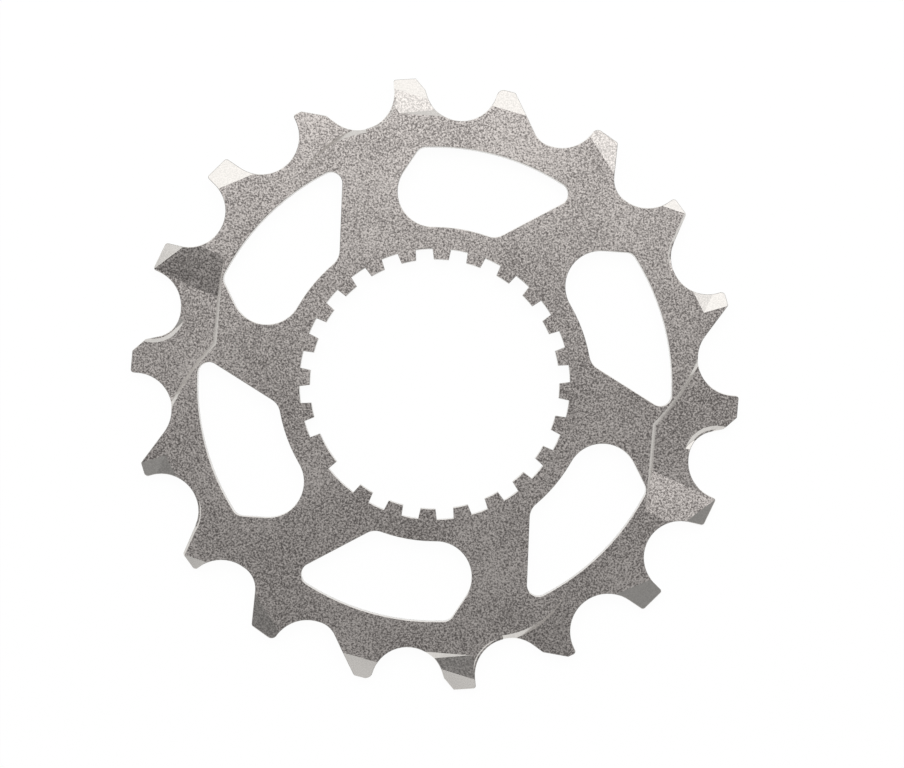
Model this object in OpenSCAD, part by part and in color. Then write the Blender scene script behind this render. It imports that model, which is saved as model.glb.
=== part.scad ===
// Rear cassette cog: one flat steel plate with chain teeth, lightening windows,
// a splined bore and shift ramps sunk into its front face.
//
// Millimetres. The bore axis is Z, the back face lies on Z = 0 and the front face looks up.
// Places on the plate are given in a tooth's own frame: X runs clockwise along the rim as seen
// from the front, Y runs outward through the middle of the tooth. Angles run clockwise from +Y.
// The ramps' places count their Y from the pitch circle, so that they follow the chain's pitch.

/* [Plate] */
// Thickness of the plate
plate_t = 1.6; // [1.5:0.05:2.2]
// Distance between two pins of the chain
chain_pitch = 12.7; // [12.5:0.05:13]
// Diameter of a chain roller
roller_d = 7.75; // [7.5:0.05:8]
// Play between a roller and the bottom of its gullet
root_play = 0.09; // [0:0.01:0.2]

/* [Teeth] */
// Direction of the first tooth, in degrees
first_tooth = -5; // [-10:0.5:0]
// Rounding of the trailing tooth corners
corner_r = 0.4; // [0.2:0.05:0.5]
// Rounding of the leading corner of each of the nine tooth kinds, in order
nose_r = [0.35, 0.9, 0.8, 0.45, 0.5, 0.4, 0.35, 0.35, 0.4];
// Height of each kind above the pitch line
tip_rise = [1.31, 0.76, 0.83, 0.88, 0.93, 0.99, 0.95, 1.4, 0.88];
// Radius of the gullet behind each kind
seat_r = [4.49, 2.92, 3.08, 4.56, 4.56, 3.5, 4.49, 4.64, 4.53];
// Shift of that gullet's middle towards the next tooth
seat_shift = [0.15, 0, 0, 0.08, 0.08, 0, 0.15, 0, 0.11];
// Radius on the far side of a tight gullet, where the next tooth starts
far_seat_r = 4.64; // [4.5:0.02:4.8]
// Lean of the trailing flank of each kind, in degrees
flank_lean = [12.6, 40.2, 28.6, 31.4, 38.3, 17.2, 11.3, 10.8, 28.8];
// Lean of the cut across the trailing corner of each kind, in degrees, 0 for none
corner_lean = [35, 0, 0, 0, 0, 46, 0, 0, 55.4];
// Where that cut meets the top of the tooth, from the tooth's middle
corner_at = [0.96, 0, 0, 0, 0, 0.88, 0, 0, -0.71];

/* [Windows] */
// Number of windows between the hub ring and the rim
windows = 6; // [6:1:6]
// Radius of the hub ring, inside the windows
hub_r = 19.4; // [18.8:0.1:20]
// Width of the rim between the windows and the gullets
rim_w = 3.31; // [3:0.1:4]
// Corner radius and direction of the broad leading end, next to the hub
lead_hub_corner = [4.41, -0.37];
// Corner radius and direction of the broad leading end, next to the rim
lead_rim_corner = [1.37, -2.18];
// Corner radius and direction of the narrow trailing end, next to the rim
trail_rim_corner = [1.41, 32.66];
// Corner radius and direction of the slanted trailing side, next to the hub
trail_hub_corner = [2.19, 19.86];

/* [Splined bore] */
// Radius of the bore at the bottom of the grooves
bore_r = 16.7; // [16.5:0.1:17.2]
// Height of the spline tabs
tab_h = 1.3; // [1:0.05:1.5]
// Number of places round the bore
spline_places = 24; // [24:1:24]
// Width of a tab at its inner end
tab_w = 1.86; // [1.6:0.05:2.2]
// Flare of each side of a tab towards its root, in degrees
tab_flare = 10; // [4:1:14]
// Direction of the first tab, in degrees
first_tab = 3.06; // [0:0.5:6]
// First and last of the places that hold one wide tab and one wide groove instead
wide_places = [15, 16];
// Direction of the wide tab, in degrees
wide_tab_at = 239.2; // [238.5:0.1:240]
// Width of the wide tab at its inner end
wide_tab_w = 4.1; // [3.6:0.1:4.6]

/* [Ramps on the front face] */
// Depth of the long recess below the front face
recess_d = 0.45; // [0.3:0.05:0.6]
// Centre of the recess's long curved wall, seen from the tooth that stands in the recess
recess_arc_at = [-15.6, -31.17];
// Radius of that wall at the front face
recess_arc_r = 28.4; // [28.2:0.1:28.6]
// Place of the recess's straight wall, inward of the pitch circle, seen from the same tooth
recess_line_y = -9.32; // [-9.55:0.05:-9.05]
// Where the room for the recess starts and ends along the rim, seen from the same tooth
recess_x = [-7, 15];
// Where the ramp out of the recess starts and ends, across the next tooth
ramp_x = [-1.7, 3.2];
// Width of the bevel on the trailing gullet edge of the tooth in the recess
gullet_bevel = 0.5; // [0.3:0.05:0.6]
// Width of the narrow bevels on a gullet edge of the first and the fourth kind
narrow_bevel = 0.15; // [0.1:0.05:0.25]
// Sideways shift that makes a gullet bevel wider towards its tooth
bevel_shift = 0.2; // [0:0.05:0.3]
// Direction in which a gullet bevel has run out, from the middle of its tooth, in degrees
bevel_end = 9.4; // [8.8:0.1:9.8]
// Length over which it runs out
bevel_run = 1.2; // [0.8:0.1:2.5]
// Centre of the curved wall beside the hooked tooth
hook_arc_at = [2.25, -14.72];
// Radius of that wall at the front face
hook_arc_r = 10.3; // [10:0.05:10.5]

/* [Hidden] */
$fn = 96;
kinds = len(tip_rise);
teeth = 2 * kinds;
half = 180 / teeth;
pitch_r = chain_pitch / 2 / sin(half);
root_r = pitch_r - roller_d / 2 - root_play;
rim_r = root_r - rim_w;
// How far a line or an arc runs into the circle that carries it on, so that the two cross cleanly
bite = 0.003;
// How much lower a tight gullet lies than its far side, for the same reason
sink = 0.02;
// How far a cutting shape runs past what it cuts
over = 1;
// How far the disc that carries the teeth runs past the bottoms of the gullets
disc_lap = 0.5;
// Reach of the cut across a tooth's corner, up and down from the top of the tooth
corner_cut = 4;

// Three points of each facet, as x, y and depth below the front face, seen from its tooth
step_face = [[-1.45, -2.87, 0], [-1.94, -2, 0], [3, -3.57, 0.7]];
step_wall = [[-1.47, -2.87, 0], [3.2, -3.62, 0], [-1.31, -1.88, 1]];
step_tip = [[-1.45, 0.03, 0.28], [2.1, -1.27, 0.77], [0.5, 1.33, 0.95]];
flat_tip = [[-2, -1.57, 0], [2.4, -1.62, 0], [0, 0.76, 0.55]];
slant_tip = [[-1.37, -0.79, 0], [1.15, -1.77, 0], [1.5, 0.83, 0.5]];
small_tip = [[-1.7, -0.77, 0], [0.4, 0.73, 0], [-1.4, 0.83, 0.3]];
flank_bevel = [[2.14, -2.15, 0], [0.76, 0.18, 0], [2.57, -1.89, 0.5]];
flank_end = [[1, -1.82, 0], [3, -2.62, 0], [3.1, -2.37, 1]];
patch_side = [[0.1, -2.27, 0], [0.05, 0.73, 0], [-1.8, -0.77, 0.45]];
patch_foot = [[-2.2, -2.67, 0], [-0.15, -2.27, 0], [-1.4, -0.07, 0.55]];
ramp_tip = [[-1.57, 0.77, 0.44], [1.77, -1.01, 0.13], [1.6, 0.93, 0.9]];
tall_tip = [[-1.62, -0.76, 0], [2.13, -2.24, 0], [0.3, 1.43, 0.7]];
hook_face = [[-4.31, -6.14, 0], [-2.21, -1.61, 0], [0.22, -8.24, 0.55]];
recess_wall = [[0, recess_line_y, 0], [1, recess_line_y, 0], [0, recess_line_y + 1, 1]];
recess_ramp = [[ramp_x[1], recess_line_y, 0], [ramp_x[1], 0, 0], [ramp_x[0], 0, recess_d]];

function unit(v) = v / norm(v);
function polar(r, a) = [r * sin(a), r * cos(a)];
function turned(p, a) = [p.x * cos(a) + p.y * sin(a), p.y * cos(a) - p.x * sin(a)];
function tight(k) = seat_r[k] < roller_d / 2;
function seat(k) = [seat_shift[k], root_r + seat_r[k] - (tight(k) ? sink : 0)];
function far_r(k) = tight(k) ? far_seat_r : seat_r[k];
function far_seat(k) = tight(k) ? [0, root_r + far_seat_r] : seat(k);
function before(k) = (k + kinds - 1) % kinds;
function from_pitch(p) = [p.x, pitch_r + p.y];
function on_front(p) = [p.x, pitch_r + p.y, plate_t - p.z];

module at(a) {
  rotate([0, 0, -a]) children();
}

// Repeats what belongs to one tooth kind on both of its teeth
module on_kind(k) {
  for (i = [k, k + kinds]) {
    at(first_tooth + 2 * half * i) children();
  }
}

// What is cut away to round a corner whose second side leans by the given angle
module corner_round(x, y, lean, r) {
  t = r * tan(45 - lean / 2);
  foot = [x + t * sin(lean), y - t * cos(lean)];
  out = [cos(lean), sin(lean)];
  difference() {
    polygon([foot, foot + over * out, [x + over, y + over], [x - t, y + over], [x - t, y - r]]);
    translate([x - t, y - r]) circle(r = r + bite);
  }
}

// One tooth between the middles of its two gullets, before they are cut
module tooth(k) {
  top = pitch_r + tip_rise[k];
  lean = flank_lean[k];
  lead = turned(far_seat(before(k)), -half);
  lead_x = lead.x + far_r(before(k)) - bite;
  trail = turned(seat(k), half);
  touch = trail - (seat_r[k] - bite) * [cos(lean), sin(lean)];
  trail_x = touch.x - (top - touch.y) * tan(lean);
  difference() {
    polygon([polar(rim_r, half), trail, touch, [trail_x, top],
      [lead_x, top], [lead_x, lead.y], lead, polar(rim_r, -half)]);
    mirror([1, 0]) corner_round(-lead_x, top, 0, nose_r[k]);
    if (corner_lean[k] > 0) {
      translate([corner_at[k], top]) rotate(corner_lean[k])
        translate([0, -corner_cut]) square(2 * corner_cut);
    } else {
      corner_round(trail_x, top, lean, corner_r);
    }
  }
}

// The gullet behind a tooth, seen from the gullet's own middle
module gullet(k) {
  translate(seat(k)) circle(r = seat_r[k]);
  if (tight(k)) {
    intersection() {
      translate(far_seat(k)) circle(r = far_seat_r);
      translate([0, root_r - far_seat_r]) square(4 * far_seat_r);
    }
  }
}

// Outer tangent points of two round corners, on the side away from the window's middle
function tangent_points(p, rp, q, rq) =
  let (along = unit(q - p), out = [-along.y, along.x])
  let (s = (rp - rq) / norm(q - p), n = s * along + sqrt(1 - s * s) * out)
  [p + (rp - bite) * n, q + (rq - bite) * n];

module window() {
  a = polar(hub_r + lead_hub_corner[0] - bite, lead_hub_corner[1]);
  b = polar(rim_r - lead_rim_corner[0] + bite, lead_rim_corner[1]);
  c = polar(rim_r - trail_rim_corner[0] + bite, trail_rim_corner[1]);
  d = polar(hub_r + trail_hub_corner[0] - bite, trail_hub_corner[1]);
  lead_side = tangent_points(a, lead_hub_corner[0], b, lead_rim_corner[0]);
  trail_side = tangent_points(c, trail_rim_corner[0], d, trail_hub_corner[0]);
  middle = (lead_rim_corner[1] + trail_rim_corner[1]) / 2;
  difference() {
    intersection() {
      circle(r = rim_r, $fn = 180);
      polygon([polar(hub_r / 2, trail_hub_corner[1]), d, trail_side[1], trail_side[0], c,
        polar(pitch_r, trail_rim_corner[1]), polar(pitch_r, middle), polar(pitch_r, lead_rim_corner[1]),
        b, lead_side[1], lead_side[0], a, polar(hub_r / 2, lead_hub_corner[1])]);
    }
    circle(r = hub_r, $fn = 180);
  }
  translate(a) circle(r = lead_hub_corner[0]);
  translate(b) circle(r = lead_rim_corner[0]);
  translate(c) circle(r = trail_rim_corner[0]);
  translate(d) circle(r = trail_hub_corner[0]);
}

module tab(w) {
  inner = bore_r - tab_h - over;
  outer = bore_r + over;
  tip = w / 2 - over * tan(tab_flare);
  root = tip + (outer - inner) * tan(tab_flare);
  polygon([[-tip, inner], [tip, inner], [root, outer], [-root, outer]]);
}

module splined_bore() {
  circle(r = bore_r - tab_h, $fn = 120);
  difference() {
    circle(r = bore_r, $fn = 120);
    for (i = [0:spline_places - 1]) {
      if (i < wide_places[0] || i > wide_places[1]) {
        at(first_tab + i * 360 / spline_places) tab(tab_w);
      }
    }
    at(wide_tab_at) tab(wide_tab_w);
  }
}

module blank() {
  difference() {
    union() {
      circle(r = root_r + disc_lap, $fn = 180);
      for (i = [0:teeth - 1]) {
        at(first_tooth + 2 * half * i) tooth(i % kinds);
      }
    }
    for (i = [0:teeth - 1]) {
      at(first_tooth + 2 * half * i + half) gullet(i % kinds);
    }
    for (i = [0:windows - 1]) {
      at(i * 360 / windows) window();
    }
    splined_bore();
  }
}

// The room above the plane through three points of a facet
module above(facet) {
  p = on_front(facet[0]);
  u = unit(on_front(facet[1]) - p);
  m = unit(cross(u, on_front(facet[2]) - p));
  n = m.z > 0 ? m : -m;
  w = cross(n, u);
  multmatrix([[u.x, w.x, n.x, p.x], [u.y, w.y, n.y, p.y], [u.z, w.z, n.z, p.z]])
    translate([-pitch_r, -pitch_r, 0]) cube([2 * pitch_r, 2 * pitch_r, pitch_r]);
}

// The room over one tooth and its halves of the two gullets
module tooth_room() {
  linear_extrude(2 * plate_t) polygon([[0, 0], polar(2 * pitch_r, half), polar(2 * pitch_r, -half)]);
}

// What is cut from a tooth by the planes of its facets
module facet_cut(facets) {
  intersection() {
    intersection_for(facet = facets) above(facet);
    tooth_room();
  }
}

// A round wall that slants at 45 degrees, with radius r at the front face and r + spread at the back
module slant_round(r, spread) {
  slope = spread / plate_t;
  cylinder(h = plate_t + over, r1 = r + spread, r2 = r - slope * over, $fn = 180);
}

// The long recess round one tooth, seen from that tooth, with its ramp across the next one
module recess() {
  intersection() {
    difference() {
      translate([recess_x[0], pitch_r + recess_line_y - over, plate_t - recess_d])
        cube([recess_x[1] - recess_x[0], pitch_r, plate_t]);
      translate(from_pitch(recess_arc_at)) slant_round(recess_arc_r, plate_t);
    }
    above(recess_wall);
    at(2 * half) above(recess_ramp);
  }
}

// The bevel along a gullet's edge, cut w deep into a ground that lies at the given depth. Side 1 is
// the tooth's trailing side, and the bevel runs out towards the gullet's middle.
module gullet_edge(k, side, ground, w) {
  seat_at = turned(seat(k), side * half);
  foot = polar(root_r, side * bevel_end);
  inner = foot.y - pitch_r;
  run_out = [[foot.x, inner, ground], [0, -pitch_r, ground], [foot.x - side * bevel_run, inner, ground + w]];
  intersection() {
    translate([seat_at.x - side * bevel_shift, seat_at.y - bevel_shift / 2, plate_t - ground - w])
      cylinder(h = ground + w + over, r1 = seat_r[k], r2 = seat_r[k] + ground + w + over);
    above(run_out);
    tooth_room();
  }
}

module ramps() {
  on_kind(0) facet_cut([step_face, step_wall]);
  on_kind(0) facet_cut([step_tip, step_wall]);
  on_kind(0) gullet_edge(kinds - 1, -1, 0, narrow_bevel);
  on_kind(1) facet_cut([flat_tip]);
  on_kind(2) facet_cut([slant_tip]);
  on_kind(3) facet_cut([small_tip]);
  on_kind(3) facet_cut([flank_bevel, flank_end]);
  on_kind(3) gullet_edge(3, 1, 0, narrow_bevel);
  on_kind(4) facet_cut([patch_side, patch_foot]);
  on_kind(5) recess();
  on_kind(5) gullet_edge(5, 1, recess_d, gullet_bevel);
  on_kind(6) facet_cut([ramp_tip]);
  on_kind(7) facet_cut([tall_tip]);
  on_kind(8) difference() {
    facet_cut([hook_face]);
    translate(from_pitch(hook_arc_at)) slant_round(hook_arc_r, plate_t);
  }
}

module cog() {
  color("silver") difference() {
    linear_extrude(plate_t) blank();
    ramps();
  }
}

cog();
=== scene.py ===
# %% [markdown]
# A cassette cog is one flat steel plate: stamped, pressed, machined at its teeth, tumbled and
# then plated with satin nickel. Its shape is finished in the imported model, which is loaded here
# as a fixed frame. This lesson gives it what the photograph shows from close by: edges that are
# rolled over a little, and a plating that is speckled on the faces and smooth on the machined
# walls.
#
# Everything is in metres. The plate lies on its back face at height zero, with the bore's axis
# pointing up.

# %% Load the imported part
import math

import bpy
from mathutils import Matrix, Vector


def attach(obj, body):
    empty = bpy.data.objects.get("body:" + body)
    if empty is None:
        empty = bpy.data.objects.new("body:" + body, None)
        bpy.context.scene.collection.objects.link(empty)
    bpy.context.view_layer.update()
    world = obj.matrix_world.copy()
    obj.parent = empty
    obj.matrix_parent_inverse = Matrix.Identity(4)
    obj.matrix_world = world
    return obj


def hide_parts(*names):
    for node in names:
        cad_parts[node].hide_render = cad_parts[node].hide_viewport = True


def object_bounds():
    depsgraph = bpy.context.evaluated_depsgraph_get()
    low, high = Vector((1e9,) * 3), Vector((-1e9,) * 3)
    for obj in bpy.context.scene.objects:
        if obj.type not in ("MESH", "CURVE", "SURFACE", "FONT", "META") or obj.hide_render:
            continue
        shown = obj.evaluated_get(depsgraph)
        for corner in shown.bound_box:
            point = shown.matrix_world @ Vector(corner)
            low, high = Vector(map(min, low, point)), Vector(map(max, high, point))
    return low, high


MM = 0.001

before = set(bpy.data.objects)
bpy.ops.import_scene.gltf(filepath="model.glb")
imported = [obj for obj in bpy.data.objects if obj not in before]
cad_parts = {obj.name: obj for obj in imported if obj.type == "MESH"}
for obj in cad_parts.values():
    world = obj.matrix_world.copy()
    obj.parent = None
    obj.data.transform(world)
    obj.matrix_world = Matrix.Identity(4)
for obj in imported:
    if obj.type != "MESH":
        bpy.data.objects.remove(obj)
cad_low, cad_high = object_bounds()
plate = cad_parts["cog"]
print("the cog is", [round((h - l) / MM, 2) for l, h in zip(cad_low, cad_high)], "mm")

# %% [markdown]
# The camera comes first, because every later choice is judged through it. The photograph looks
# straight down on the plate, so the camera needs no turn: an unturned camera looks down with +Y
# at the top. A long lens keeps the walls of the bore and the windows nearly edge-on, as they are
# there. The plate's scale in the photograph is known, and so is the place of its middle. From
# these two the camera's height and its small step to the right follow.

# %% Camera
PHOTO_W, PHOTO_H = 904, 768
PX_PER_MM = 8.11
COG_PX = (434.66, 384.1)
LENS, SENSOR = 100, 36
NEAREST, FARTHEST = 0.01, 10

view_w = PHOTO_W / PX_PER_MM * MM
height = view_w * LENS / SENSOR
step_x = (PHOTO_W / 2 - COG_PX[0]) / PX_PER_MM * MM
step_y = (COG_PX[1] - PHOTO_H / 2) / PX_PER_MM * MM

camera = bpy.data.objects.new("camera", bpy.data.cameras.new("camera"))
bpy.context.collection.objects.link(camera)
camera.location = (step_x, step_y, cad_high.z + height)
camera.data.lens = LENS
camera.data.sensor_width = SENSOR
camera.data.clip_start = NEAREST
camera.data.clip_end = FARTHEST
bpy.context.scene.camera = camera
bpy.context.scene.view_settings.view_transform = "Standard"
print("camera height", round(camera.location.z, 4), "m, view", round(view_w / MM, 1), "mm wide")

# %% [markdown]
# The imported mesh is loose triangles, and it stays as it is. Work on its edges starts from a copy
# whose points are merged. The copy also carries stored normals, which would shade the old shape
# once an edge has changed, so they are dropped.

# %% A merged copy of the plate
MERGE_WITHIN = 0.02 * MM


def merged_copy(source, name):
    """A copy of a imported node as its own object, with merged points and no stored normals."""
    piece = bpy.data.objects.new(name, source.data.copy())
    bpy.context.collection.objects.link(piece)
    bpy.ops.object.select_all(action="DESELECT")
    piece.select_set(True)
    bpy.context.view_layer.objects.active = piece
    bpy.ops.mesh.customdata_custom_splitnormals_clear()
    bpy.ops.object.mode_set(mode="EDIT")
    bpy.ops.mesh.select_all(action="SELECT")
    bpy.ops.mesh.remove_doubles(threshold=MERGE_WITHIN)
    bpy.ops.object.mode_set(mode="OBJECT")
    return piece


cog = merged_copy(plate, "plated_cog")
print("merged:", len(cog.data.vertices), "points,", len(cog.data.polygons), "faces")

# %% [markdown]
# Two helpers pick faces or points by a rule and leave the piece in edit mode. Blender reads a
# selection that is set in object mode, as long as the select mode fits what was picked.

# %% Picking by rule
def pick(piece, kind, wanted):
    """Selects just the wanted faces or points, by index, and enters edit mode."""
    bpy.ops.object.mode_set(mode="EDIT")
    bpy.ops.mesh.select_mode(type=kind)
    bpy.ops.mesh.select_all(action="DESELECT")
    bpy.ops.object.mode_set(mode="OBJECT")
    parts = piece.data.polygons if kind == "FACE" else piece.data.vertices
    for index in wanted:
        parts[index].select = True
    bpy.ops.object.mode_set(mode="EDIT")


def faces_that_lean(piece, least, most):
    """Indices of the faces whose normal has its Z between two values."""
    return [face.index for face in piece.data.polygons if least < face.normal.z <= most]

# %% [markdown]
# A ramp is one plane, but it arrives as a fan of thin triangles, which are hard to inset cleanly.
# So the triangles of each ramp and tip are joined into one face first. The big flats keep theirs:
# they have holes, which one face can't have.

# %% Ramps as single faces
LOOKS_UP = 0.3
RAMP_MOST = 0.998
SAME_PLANE = math.radians(0.5)

pick(cog, "FACE", faces_that_lean(cog, LOOKS_UP, RAMP_MOST))
bpy.ops.mesh.dissolve_limited(angle_limit=SAME_PLANE)
bpy.ops.object.mode_set(mode="OBJECT")
print("ramps joined:", len(cog.data.vertices), "points,", len(cog.data.polygons), "faces")

# %% [markdown]
# Tumbling rounds every edge of such a plate by a little under a tenth of a millimetre. From above
# that shows as a fine line round the teeth, the windows and the tabs. A line could be painted on,
# but it wouldn't follow the lamps, and a Bevel modifier trips over the plate's many thin triangles.
# So the rounding is built from the flat side: all faces that look up are inset twice, which lays
# two narrow rings inside the rim, and then the outer rings sink onto a quarter circle. The walls
# only get shorter, and the plate keeps its size.
#
# An inset can push a point a little off a sloping ramp, so the new points are first set back onto
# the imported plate's own surface with a Shrinkwrap.

# %% Points of the rim
def spot(point):
    """A point's place, rounded so that it can be found again."""
    return tuple(round(value / MM, 4) for value in point.co)


def rim_spots(piece, faces):
    """Places of the points where the given faces meet the others."""
    points = piece.data.vertices
    inside, outside = set(), set()
    for face in piece.data.polygons:
        (inside if face.index in faces else outside).update(face.vertices)
    return {spot(points[index]) for index in inside & outside}


def back_on_plate(piece, points):
    """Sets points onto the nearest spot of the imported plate's surface."""
    group = piece.vertex_groups.new(name="inset points")
    group.add(list(points), 1, "REPLACE")
    wrap = piece.modifiers.new("back on the plate", "SHRINKWRAP")
    wrap.target = plate
    wrap.vertex_group = group.name
    wrap.wrap_method = "NEAREST_SURFACEPOINT"
    bpy.ops.object.modifier_apply(modifier=wrap.name)
    piece.vertex_groups.clear()

# %% [markdown]
# The rim is found by its places, because an inset gives points new numbers. Faces that look down
# only count as the back if they lie low, so that a stray sliver on the front isn't taken for it.
# A normal's Z is never far over 1, so a limit past one takes in every face on that side.

# %% Rolled edges
EDGE_ROLL = 0.07 * MM
RING = math.sin(math.radians(45))
BACK_BELOW = 0.3 * MM
PAST_ONE = 1.1


def faces_of(piece, side):
    """Indices of the faces of the front (side 1) or the back (side -1)."""
    least, most = (LOOKS_UP, PAST_ONE) if side > 0 else (-PAST_ONE, -LOOKS_UP)
    faces = piece.data.polygons
    leaning = faces_that_lean(piece, least, most)
    return {index for index in leaning if (faces[index].center.z > BACK_BELOW) == (side > 0)}


def roll_rim(piece, side):
    """Rounds the rim of the front (side 1) or the back (side -1)."""
    faces = faces_of(piece, side)
    rim_at, old = rim_spots(piece, faces), {spot(point) for point in piece.data.vertices}
    pick(piece, "FACE", faces)
    for share in (1 - RING, RING):
        bpy.ops.mesh.inset(thickness=EDGE_ROLL * share, use_even_offset=False)
    bpy.ops.object.mode_set(mode="OBJECT")

    rim = {point.index for point in piece.data.vertices if spot(point) in rim_at}
    new = {point.index for point in piece.data.vertices if spot(point) not in old}
    back_on_plate(piece, new)
    ring = set()
    for edge in piece.data.edges:
        if rim & set(edge.vertices):
            ring.update(new & set(edge.vertices))
    pick(piece, "VERT", rim | ring)
    bpy.ops.transform.translate(value=(0, 0, -side * EDGE_ROLL * (1 - RING)))
    pick(piece, "VERT", rim)
    bpy.ops.transform.translate(value=(0, 0, -side * EDGE_ROLL * RING))
    bpy.ops.object.mode_set(mode="OBJECT")
    print("rolled", len(rim), "rim points and", len(ring), "ring points")


roll_rim(cog, 1)
roll_rim(cog, -1)

# %% [markdown]
# The curved walls should look curved, and each flat and ramp should stay flat up to its ridge. The
# ridges between flats and ramps are as shallow as five degrees, so an angle alone can't tell them
# from the steps of an arc. Smooth shading is laid on everything first and then taken off the faces
# that look straight up or nearly so, while the slanted round walls keep it.

# %% Smooth walls and crisp ramps
FLAT = 0.8
SMOOTH_UP_TO = math.radians(35)

bpy.ops.object.shade_smooth_by_angle(angle=SMOOTH_UP_TO)
pick(cog, "FACE", faces_that_lean(cog, FLAT, 1) + faces_that_lean(cog, -PAST_ONE, -FLAT))
bpy.ops.mesh.faces_shade_flat()
bpy.ops.object.mode_set(mode="OBJECT")
print("plated cog:", len(cog.data.vertices), "points,", len(cog.data.polygons), "faces")

# %% [markdown]
# Shader maths reads best as plain Python. The small class below wraps a socket, so that adding or
# multiplying two of them adds the Math nodes. Any other node comes from `node`, which sets the
# node's own settings first and then fills or links its sockets.

# %% Shader maths as Python expressions
class Link:
    """One output socket of a node tree, ready for use in expressions."""

    def __init__(self, tree, socket):
        self.tree, self.socket = tree, socket

    def node(self, kind, settings=None, sockets=None, out=0):
        return add_node(self.tree, kind, settings, sockets, out)

    def maths(self, operation, first, second):
        return self.node("ShaderNodeMath", {"operation": operation}, {0: first, 1: second})

    def __add__(self, other):
        return self.maths("ADD", self, other)

    def __sub__(self, other):
        return self.maths("SUBTRACT", self, other)

    def __rsub__(self, other):
        return self.maths("SUBTRACT", other, self)

    def __mul__(self, other):
        return self.maths("MULTIPLY", self, other)

    __radd__ = __add__
    __rmul__ = __mul__


def add_node(tree, kind, settings=None, sockets=None, out=0):
    """Adds a node, sets its settings, fills its sockets, and returns one of its outputs."""
    made = tree.nodes.new(kind)
    for name, value in (settings or {}).items():
        setattr(made, name, value)
    for name, value in (sockets or {}).items():
        if isinstance(value, Link):
            tree.links.new(value.socket, made.inputs[name])
        else:
            made.inputs[name].default_value = value
    return Link(tree, made.outputs[out]) if made.outputs else None

# %% [markdown]
# Four helpers save writing later. A soft step turns a height or a distance into a mask. The two
# mixes take their sockets by number, because those nodes have several of one name. And each
# material or world starts from an empty tree.

# %% Masks, mixes and empty trees
def smooth_step(value, low, high):
    """0 below low, 1 above high, and a smooth change between."""
    sockets = {"Value": value, "From Min": low, "From Max": high}
    return value.node("ShaderNodeMapRange", {"interpolation_type": "SMOOTHSTEP"}, sockets)


def mix_colours(factor, first, second):
    """A mix of two colours, each a link or four numbers."""
    settings = {"data_type": "RGBA", "clamp_factor": True}
    return factor.node("ShaderNodeMix", settings, {0: factor, 6: first, 7: second}, out=2)


def mix_shaders(factor, first, second):
    """A mix of two shaders, or of two backgrounds."""
    return factor.node("ShaderNodeMixShader", {}, {0: factor, 1: first, 2: second})


def empty_tree(owner):
    """The node tree of a new material or world, with nothing in it."""
    owner.use_nodes = True
    owner.node_tree.nodes.clear()
    return owner.node_tree

# %% [markdown]
# The plating is satin nickel over blasted steel: warm grey, and speckled with dark and light grains
# of about a fifth of a millimetre. It could be a picture laid over the plate, but a procedural
# pattern has no edge and no seam. Two noises make it: a fine one for the grains, and a coarse,
# faint one for the cloudy unevenness of the plating. Noise is laid out on a grid, and a flat face
# that lies along the grid shows it, so the pattern is turned out of line with the plate.
#
# The machined walls are told from the faces by how far they lean, which the surface's own normal
# gives. They are smoother and nearly clean, and the shallow ramps lie between the two.

# %% Speckled nickel
GRAIN, GRAIN_DETAIL, GRAIN_FINE = 0.205 * MM, 1.5, 0.6
CLOUD, CLOUD_DETAIL = 9 * MM, 3.0
GRAIN_TURN = (0.6, 0.8, 0.3)
GRAIN_GAIN, CLOUD_GAIN, MIDDLE = 3.8, 0.7, 0.5
DARK_GRAIN = (0.235, 0.213, 0.204, 1)
LIGHT_GRAIN = (0.85, 0.795, 0.76, 1)

WALL_UP_TO, FACE_FROM = 0.972, 0.990
WALL_COLOUR = (0.68, 0.66, 0.63, 1)
WALL_CLEAN, WALL_EVEN = 0.85, 0.8

FACE_ROUGH, WALL_SMOOTHER, GRAIN_ROUGH = 0.29, 0.10, 0.12
BUMP, BUMP_HEIGHT = 0.35, 0.02 * MM


def speckled_nickel():
    material = bpy.data.materials.new("speckled_nickel")
    tree = empty_tree(material)
    normal = add_node(tree, "ShaderNodeNewGeometry", out="Normal")
    lean = normal.node("ShaderNodeSeparateXYZ", {}, {"Vector": normal}, out="Z")
    wall = 1 - smooth_step(lean, WALL_UP_TO, FACE_FROM)

    place = add_node(tree, "ShaderNodeTexCoord", out="Object")
    place = place.node("ShaderNodeMapping", {}, {"Vector": place, "Rotation": GRAIN_TURN})
    fine = {"Vector": place, "Scale": 1 / GRAIN, "Detail": GRAIN_DETAIL, "Roughness": GRAIN_FINE}
    coarse = {"Vector": place, "Scale": 1 / CLOUD, "Detail": CLOUD_DETAIL}
    grain = place.node("ShaderNodeTexNoise", {}, fine)
    cloud = place.node("ShaderNodeTexNoise", {}, coarse)

    speckle = (grain - MIDDLE) * GRAIN_GAIN + (cloud - MIDDLE) * CLOUD_GAIN + MIDDLE
    face = mix_colours(speckle, DARK_GRAIN, LIGHT_GRAIN)
    colour = mix_colours(wall * WALL_CLEAN, face, WALL_COLOUR)
    roughness = FACE_ROUGH - wall * WALL_SMOOTHER + (grain - MIDDLE) * GRAIN_ROUGH
    relief = grain * (1 - wall * WALL_EVEN)
    pits = {"Strength": BUMP, "Distance": BUMP_HEIGHT, "Height": relief}
    bump = grain.node("ShaderNodeBump", {}, pits)

    sockets = {"Base Color": colour, "Roughness": roughness, "Metallic": 1.0, "Normal": bump}
    shader = colour.node("ShaderNodeBsdfPrincipled", {}, sockets)
    shader.node("ShaderNodeOutputMaterial", {}, {"Surface": shader})
    print("speckled nickel:", len(tree.nodes), "nodes")
    return material


cog.data.materials.clear()
cog.data.materials.append(speckled_nickel())
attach(cog, "root")
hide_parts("cog")

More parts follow.
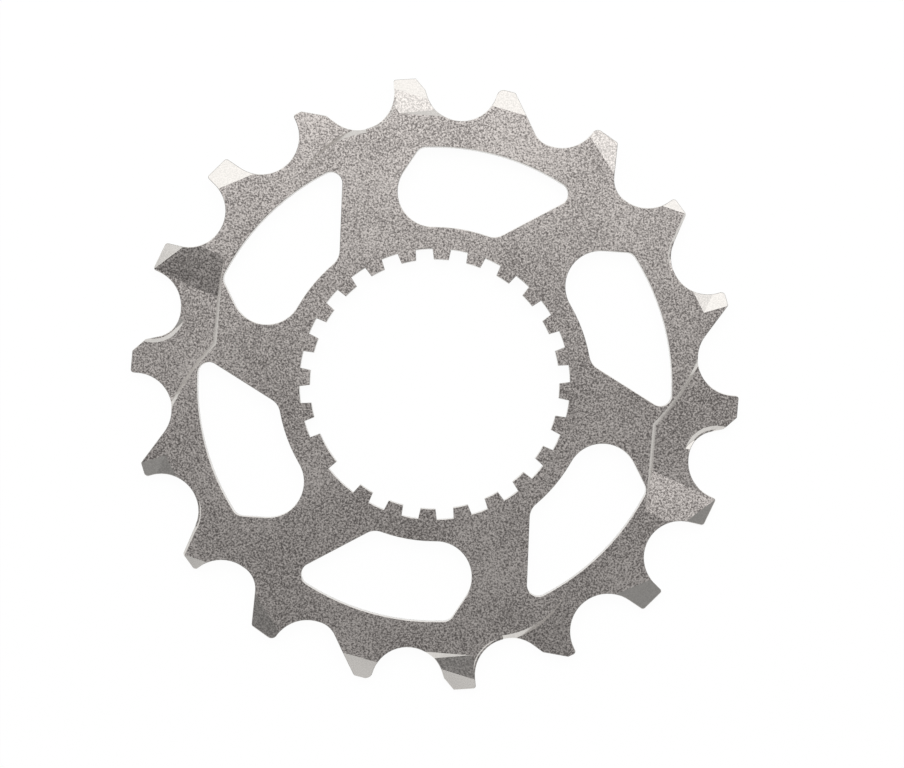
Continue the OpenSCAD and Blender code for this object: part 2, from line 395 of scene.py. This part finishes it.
# %% [markdown]
# The photograph's ground is plain white. The floor here is a pale sheet that takes the lamps as any
# sheet would, mixed with a white glow that only the camera and mirrors see. So it reads as white,
# the metal's walls mirror white, and a faint shadow stays under the plate. It lies a hair below the
# plate, so that the two surfaces never share one plane.

# %% Floor
FLOOR_SIZE = 3
FLOOR_GAP = 0.02 * MM
SHEET_COLOUR = (0.8, 0.8, 0.8, 1)
GLOW_SHARE, GLOW = 0.9, 1.05

bpy.ops.mesh.primitive_plane_add(size=FLOOR_SIZE, location=(0, 0, cad_low.z - FLOOR_GAP))
floor = bpy.context.object
floor.name = "floor"


def white_sheet():
    material = bpy.data.materials.new("white_sheet")
    tree = empty_tree(material)
    seen = add_node(tree, "ShaderNodeLightPath", out="Is Camera Ray")
    mirrored = add_node(tree, "ShaderNodeLightPath", out="Is Glossy Ray")
    passed = add_node(tree, "ShaderNodeLightPath", out="Is Transmission Ray")
    matt = seen.node("ShaderNodeBsdfDiffuse", {}, {"Color": SHEET_COLOUR})
    glow = seen.node("ShaderNodeEmission", {}, {"Strength": GLOW})
    both = mix_shaders((seen + mirrored + passed) * GLOW_SHARE, matt, glow)
    both.node("ShaderNodeOutputMaterial", {}, {"Surface": both})
    return material


floor.data.materials.append(white_sheet())
print("floor", FLOOR_SIZE, "m wide at", round(floor.location.z / MM, 3), "mm")

# %% [markdown]
# Metal shows its lamps rather than its own colour. In the photograph the ramps and cut tips that
# lean towards the top of the picture are bright, and most of those that lean the other way are
# dark. So one broad softbox hangs on the top side, and its near edge stops short of the way
# that the flats mirror. A small strip low on the other side lights the two cut tips at the
# bottom, which are bright there too.

# %% Lamps
def softbox(name, lean, turn, width, depth, level, distance):
    """A lamp aimed at the cog. Lean is its angle from straight above, turn its angle from +Y."""
    lamp = bpy.data.objects.new(name, bpy.data.lights.new(name, "AREA"))
    bpy.context.collection.objects.link(lamp)
    lamp.data.shape = "RECTANGLE"
    lamp.data.size, lamp.data.size_y = width, depth
    lamp.data.energy = level * math.pi * width * depth
    lean, turn = math.radians(lean), math.radians(turn)
    out = distance * math.sin(lean)
    lamp.location = (out * math.sin(turn), out * math.cos(turn), distance * math.cos(lean))
    lamp.rotation_euler = (-lean, 0, -turn)
    print(name, round(lamp.data.energy, 4), "W")


softbox("top softbox", lean=31.5, turn=0, width=1.0, depth=0.51, level=1.1, distance=0.6)
softbox("low strip", lean=40.7, turn=200.4, width=0.08, depth=0.035, level=0.69, distance=0.264)

# %% [markdown]
# The rest of the room is a tent. Its sides are bright, and the slanted walls of the recess
# mirror them as light ribbons. Its roof is dim, which leaves the flats a middle grey, and a
# darker flag in the roof makes the ramps that lean to the lower left darker than the flats
# around them. The world does this with three backgrounds, mixed by the way a ray goes.

# %% Tent
WHITE = (1, 1, 1, 1)
SIDES, ROOF, FLAG = 0.8, 0.34, 0.14
ROOF_FROM, ROOF_TO = 0.25, 0.6
FLAG_WAY = (-0.27, -0.23, 0.935)
FLAG_IN, FLAG_OUT = 0.10, 0.21

world = bpy.data.worlds.new("tent")
bpy.context.scene.world = world
way = add_node(empty_tree(world), "ShaderNodeTexCoord", out="Generated")


def cloth(strength):
    """A part of the tent, with one brightness."""
    return way.node("ShaderNodeBackground", {}, {"Color": WHITE, "Strength": strength})


height_of_way = way.node("ShaderNodeSeparateXYZ", {}, {"Vector": way}, out="Z")
distance_to = {"operation": "DISTANCE"}
from_flag = way.node("ShaderNodeVectorMath", distance_to, {0: way, 1: FLAG_WAY}, out="Value")
roof = mix_shaders(smooth_step(from_flag, FLAG_IN, FLAG_OUT), cloth(FLAG), cloth(ROOF))
tent = mix_shaders(smooth_step(height_of_way, ROOF_FROM, ROOF_TO), cloth(SIDES), roof)
tent.node("ShaderNodeOutputWorld", {}, {"Surface": tent})
print("tent:", SIDES, "at the sides,", ROOF, "above and", FLAG, "at the flag")
